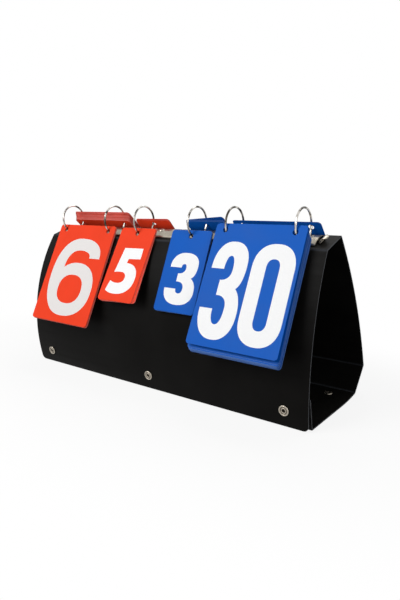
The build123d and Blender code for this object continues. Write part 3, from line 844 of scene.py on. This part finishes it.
def rounded_card(pile, inset=0.0):
    """A card's outline round its hole line, drawn in by an inset. Its corners are quarter
    circles."""
    half, top, bottom = pile.width / 2, hole_inset, hole_inset - pile.height
    turns = np.radians(np.linspace(0, 90, corner_steps))
    corners = []
    for x, y, first in ((half, top, 0), (-half, top, 90), (-half, bottom, 180),
                        (half, bottom, 270)):
        middle = (x - math.copysign(card_corner, x),
                  y - math.copysign(card_corner, y - (top + bottom) / 2))
        angles = turns + math.radians(first)
        corners.append(np.column_stack((np.cos(angles), np.sin(angles))) * (card_corner - inset)
                       + middle)
    return np.vstack(corners)


def card_holes(pile):
    """The round holes where the rings pass."""
    angles = np.linspace(0, 2 * math.pi, hole_steps, endpoint=False)
    around = hole_radius * np.column_stack((np.cos(angles), -np.sin(angles)))
    return [around + (x - pile.x, 0) for x in ring_xs if abs(x - pile.x) < pile.width / 2]


def spread(pile, clumps, chance):
    """How far out each card is, and how far through the pile from 0 to 1, where a lone card is
    the last. Gaps inside a clump vary at random round 1, a gap beyond a clump is as given, and
    all are scaled to the air in the pile."""
    gaps = np.concatenate([np.append(chance.uniform(*gap_chance, count - 1), beyond)
                           for count, beyond in clumps])
    before = np.concatenate(([0.0], np.cumsum(gaps)[:-1]))
    through = before / before[-1] if len(gaps) > 1 else np.ones(1)
    air = max(pile.farthest - pile.nearest - len(gaps) * card_wall, 0) / max(gaps.sum(), 1)
    return pile.nearest + card_wall * (np.arange(len(gaps)) + 0.5) + air * before, through


def hang_pile(name, pile, body, seed):
    """A whole pile as one mesh, on the body that carries it, in place of its blocks. Its last
    card's place is returned, since that card's number shows."""
    chance = np.random.default_rng(seed)
    clumps, (at_rings, at_end), (first, last) = pile_makeup[name]
    key, kind = name.split("_")[:2]
    places = []
    for offset, through in zip(*spread(pile, clumps, chance)):
        slide = chance.uniform(-1, 1) * slide_chance[kind]
        swing = math.radians(first + (last - first) * through ** swing_power
                             + chance.uniform(-swing_chance, swing_chance))
        places.append(pile.place(offset + at_rings * through, offset + at_end * through,
                                 slide, swing))
    piece = thin_plates(name, [rounded_card(pile)] + card_holes(pile), places, -card_wall / 2,
                        card_wall / 2, [card_faces[key], card_edge_whitening_and_highlight[key]],
                        rounded_card(pile, pale_rim_whitening_and_highlight))
    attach(piece, body)
    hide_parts(body)
    print(name, len(places), "cards")
    return places[-1]


last_place = {}
for seed, name in enumerate(set_names):
    for end, stack, pile in (("_cards_behind", "_front_stack", behind[name]),
                             ("_cards_flipped", "_back_stack", flipped[name])):
        last_place[name + end] = hang_pile(name + end, pile, name + stack, seed)

# %% [markdown]
# ## Printed numerals
# The numerals are screen-printed in white, one pass of ink that stands a few hundredths of a
# millimetre proud and lets a trace of the card through on the large red set. They are bold
# grotesque figures: wide on the red score cards, which have one figure, and condensed where
# two share a card. Each figure is a function of its box and of the weights of its upright and
# level strokes, so the same drawing serves both sizes. Both faces are printed: a card carries
# its own number in front and the next number down behind, so both teams read the same score.

# %% Draw the nought, the two and the three
# A figure is given the left, right, top and bottom of its box, y running down, and the weights of
# its upright and level strokes. Inside, w, h and m are the box's width, height and middle.


def zero(l, r, t, b, stem, bar):
    """Two nested outlines: half curves at the ends, straight sides between."""
    m, bow = (l + r) / 2, 0.55 * (r - l)
    inner = 0.62 * (r - l - 2 * stem)
    outside = trace((m, t), ("h", r, t + bow), ("l", r, b - bow), ("v", m, b), ("h", l, b - bow),
                    ("l", l, t + bow), ("v", m, t))[:-1]
    il, ir, it, ib = l + stem, r - stem, t + bar, b - bar
    counter = trace((m, it), ("h", ir, it + inner), ("l", ir, ib - inner), ("v", m, ib),
                    ("h", il, ib - inner), ("l", il, it + inner), ("v", m, it))[:-1]
    return [outside, counter]


def two(l, r, t, b, stem, bar):
    """A bowl that runs down into a slanted neck and a level foot."""
    w, h, m = r - l, b - t, (l + r) / 2
    return [trace((l + 0.03 * w, t + 0.30 * h), ("v", m, t), ("h", r, t + 0.27 * h),
                  ("c", r, t + 0.42 * h, l + 0.72 * w, t + 0.60 * h),
                  ("c", l + 0.52 * w, b - 1.6 * bar, l + 0.50 * w, b - bar), ("l", r, b - bar),
                  ("l", r, b), ("l", l, b), ("l", l, b - bar),
                  ("c", l + 0.02 * w, t + 0.66 * h, l + 0.40 * w, t + 0.50 * h),
                  ("c", r - stem, t + 0.40 * h, r - stem, t + 0.28 * h), ("v", m, t + bar),
                  ("h", l + 0.03 * w + stem, t + 0.30 * h))]


def three(l, r, t, b, stem, bar):
    """Two bowls that meet in a notch at the right and in a short level tongue at the left."""
    w, h, m = r - l, b - t, (l + r) / 2
    tongue, waist = l + 0.35 * w, (r - 0.19 * w, t + 0.48 * h)
    upper, top_left = r - 0.035 * w, l + 0.035 * w
    return [trace((top_left, t + 0.29 * h), ("v", m, t), ("h", upper, t + 0.24 * h),
                  ("c", upper, t + 0.43 * h, *waist), ("c", r, t + 0.56 * h, r, t + 0.73 * h),
                  ("v", m, b), ("h", l, t + 0.70 * h), ("l", l + stem, t + 0.70 * h),
                  ("v", m, b - bar), ("h", r - stem, t + 0.68 * h),
                  ("v", tongue + 0.03 * w, t + 0.56 * h),
                  ("l", tongue, t + 0.56 * h), ("l", tongue, t + 0.405 * h),
                  ("h", upper - stem, t + 0.29 * h), ("v", m, t + bar),
                  ("h", top_left + stem, t + 0.29 * h))]


print("the three has", len(three(0, 1, 0, 2, 0.3, 0.3)[0]), "points")

# %% Draw the four and the five
def four(l, r, t, b, stem, bar):
    """An upright, a level bar and a slanted stroke that closes a triangle with them."""
    w, h = r - l, b - t
    right, low = r - 0.13 * w, b - 0.20 * h
    left = right - stem
    outside = trace((left - 0.12 * w, t), ("l", right, t), ("l", right, low - bar),
                    ("l", r, low - bar), ("l", r, low), ("l", right, low), ("l", right, b),
                    ("l", left, b), ("l", left, low), ("l", l, low), ("l", l, low - bar))
    counter = trace((left, t + 0.34 * h), ("l", left, low - bar), ("l", l + 0.36 * w, low - bar))
    return [outside, counter]


def five(l, r, t, b, stem, bar):
    """A flag, a slightly slanted stem and one bowl left open."""
    w, h = r - l, b - t
    return [trace((l + 0.22 * w, t + 0.01 * h), ("l", r - 0.06 * w, t),
                  ("l", r - 0.04 * w, t + bar), ("l", l + 0.51 * w, t + bar * 1.05),
                  ("l", l + 0.49 * w, t + 0.335 * h),
                  ("h", r, t + 0.65 * h), ("v", l + 0.38 * w, b),
                  ("c", l + 0.15 * w, b, l, b - 0.06 * h), ("l", l + 0.08 * w, b - 0.27 * h),
                  ("c", l + 0.2 * w, b - bar, l + 0.35 * w, b - bar),
                  ("h", r - stem, t + 0.65 * h), ("v", l + 0.38 * w, t + 0.53 * h),
                  ("c", l + 0.23 * w, t + 0.53 * h, l + 0.12 * w, t + 0.545 * h))]


print("the five has", len(five(0, 1, 0, 2, 0.3, 0.3)[0]), "points")

# %% Draw the six, turn it for the nine, and place every figure
def six(l, r, t, b, stem, bar):
    """A long curve over a round bowl, and the bowl's counter."""
    w, h, m = r - l, b - t, (l + r) / 2
    bowl_top, thin = t + 0.32 * h, 0.84 * stem
    outside = trace((r - 0.03 * w, t + 0.25 * h), ("v", m, t), ("h", l, t + 0.49 * h), ("v", m, b),
                    ("h", r, (bowl_top + b) / 2), ("v", m + 0.04 * w, bowl_top),
                    ("c", l + 0.38 * w, bowl_top, l + stem, t + 0.39 * h),
                    ("v", m + 0.02 * w, t + bar), ("h", r - 0.03 * w - thin, t + 0.25 * h))
    top, low = bowl_top + bar, b - bar
    left, right = l + stem + 0.005 * w, r - thin
    middle, level = (left + right) / 2, (top + low) / 2
    counter = trace((middle, top), ("h", right, level), ("v", middle, low), ("h", left, level),
                    ("v", middle, top))[:-1]
    return [outside, counter]


def nine(l, r, t, b, stem, bar):
    """A six turned half round in its box."""
    return [np.array((l + r, t + b)) - loop for loop in six(l, r, t, b, stem, bar)]


figures = {"0": zero, "2": two, "3": three, "4": four, "5": five, "6": six, "9": nine}
# Each figure's box on its card: left, right, top and bottom from the card's top left corner, then
# the weights of its upright and level strokes.
figure_boxes = {"red_score": [(10.0, 90.5, 18.0, 117.0, 20.5, 15.5)],
                "red_set": [(7.2, 46.6, 25.2, 81.7, 15.6, 13.0)],
                "blue_set": [(8.0, 47.2, 25.3, 82.0, 15.0, 12.3)],
                "blue_score": [(5.6, 48.6, 18.8, 117.5, 14.9, 14.8),
                               (52.2, 96.6, 19.0, 117.5, 15.2, 15.0)]}
print("figures drawn:", " ".join(figures))

# %% White ink
ink_wall, ink_lift = 0.03, 0.003
ink_tints = {"opaque": "#FDFDFD", "thin": "#EAE6E4"}
thin_sets = ("red_score",)
ink_rough, ink_sheen = 0.5, 0.1
# The mesh of a screen prints about 0.3 mm apart. It is drawn at 1.1 mm, the finest that shows.
screen_mm, screen_deep_mm, screen_strength = 1.1, 0.02, 0.03
screen_shade = (0.97, 1.01)


def screen_ink(name, tint):
    """Screen-printed ink: matt, with the faint texture of the screen's mesh."""
    material, tree, spots = new_material("screen_printed_white_ink_" + name)
    screen = add(tree, "TexNoise", {"Vector": spots, "Scale": per_metre(screen_mm), "Detail": 2.0})
    shade = add(tree, "MapRange", {"Value": screen, **from_to(noise_span, screen_shade)})
    colour = add(tree, "VectorMath", {0: linear(tint)[:3], 3: shade}, operation="SCALE")
    relief = add(tree, "Bump", {"Height": screen, "Strength": screen_strength,
                                "Distance": screen_deep_mm * MM})
    shader = add(tree, "BsdfPrincipled", {"Base Color": colour, "Roughness": ink_rough,
                                          "Specular IOR Level": ink_sheen, "Normal": relief})
    add(tree, "OutputMaterial", {"Surface": shader})
    return material


inks = {name: screen_ink(name, tint) for name, tint in ink_tints.items()}
print("inks:", ", ".join(ink.name for ink in inks.values()))

# %% Print the cards
def print_number(name, number, set_name, card_place, face, body):
    """Ink on one face of the card at a place: face 1 is the outward one, -1 the one behind it."""
    origin, right, up, out = card_place
    place = (origin, right * face, up, out * face)
    corner = np.array((-shown[set_name].width / 2, hole_inset))
    ink = inks["thin" if set_name in thin_sets else "opaque"]
    low = card_wall / 2
    pieces = []
    for digit, box in zip(number, figure_boxes[set_name]):
        loops = [loop * (1, -1) + corner for loop in figures[digit](*box)]
        pieces.append(thin_plates(name, loops, [place], low + ink_lift, low + ink_wall, [ink]))
    piece = pieces[0]
    if len(pieces) > 1:
        with bpy.context.temp_override(active_object=piece, selected_editable_objects=pieces):
            bpy.ops.object.join()
    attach(piece, body)


# What each set reads: the number shown to both sides, and the one under it.
numbers = {"red_score": ("6", "5"), "red_set": ("5", "4"), "blue_set": ("3", "2"),
           "blue_score": ("30", "29")}
for name, (now, after) in numbers.items():
    hung = shown[name].place((shown[name].nearest + shown[name].farthest) / 2)
    under, over = (last_place[name + end] for end in ("_cards_behind", "_cards_flipped"))
    for part, number, place, body, face in (("front", now, hung, "_card", 1),
                                            ("reverse", after, hung, "_card", -1),
                                            ("under", after, under, "_front_stack", 1),
                                            ("flipped", now, over, "_back_stack", 1)):
        print_number(name + "_number_" + part, number, name, place, face, name + body)
    print(name, "reads", now, "and", after, "comes next")
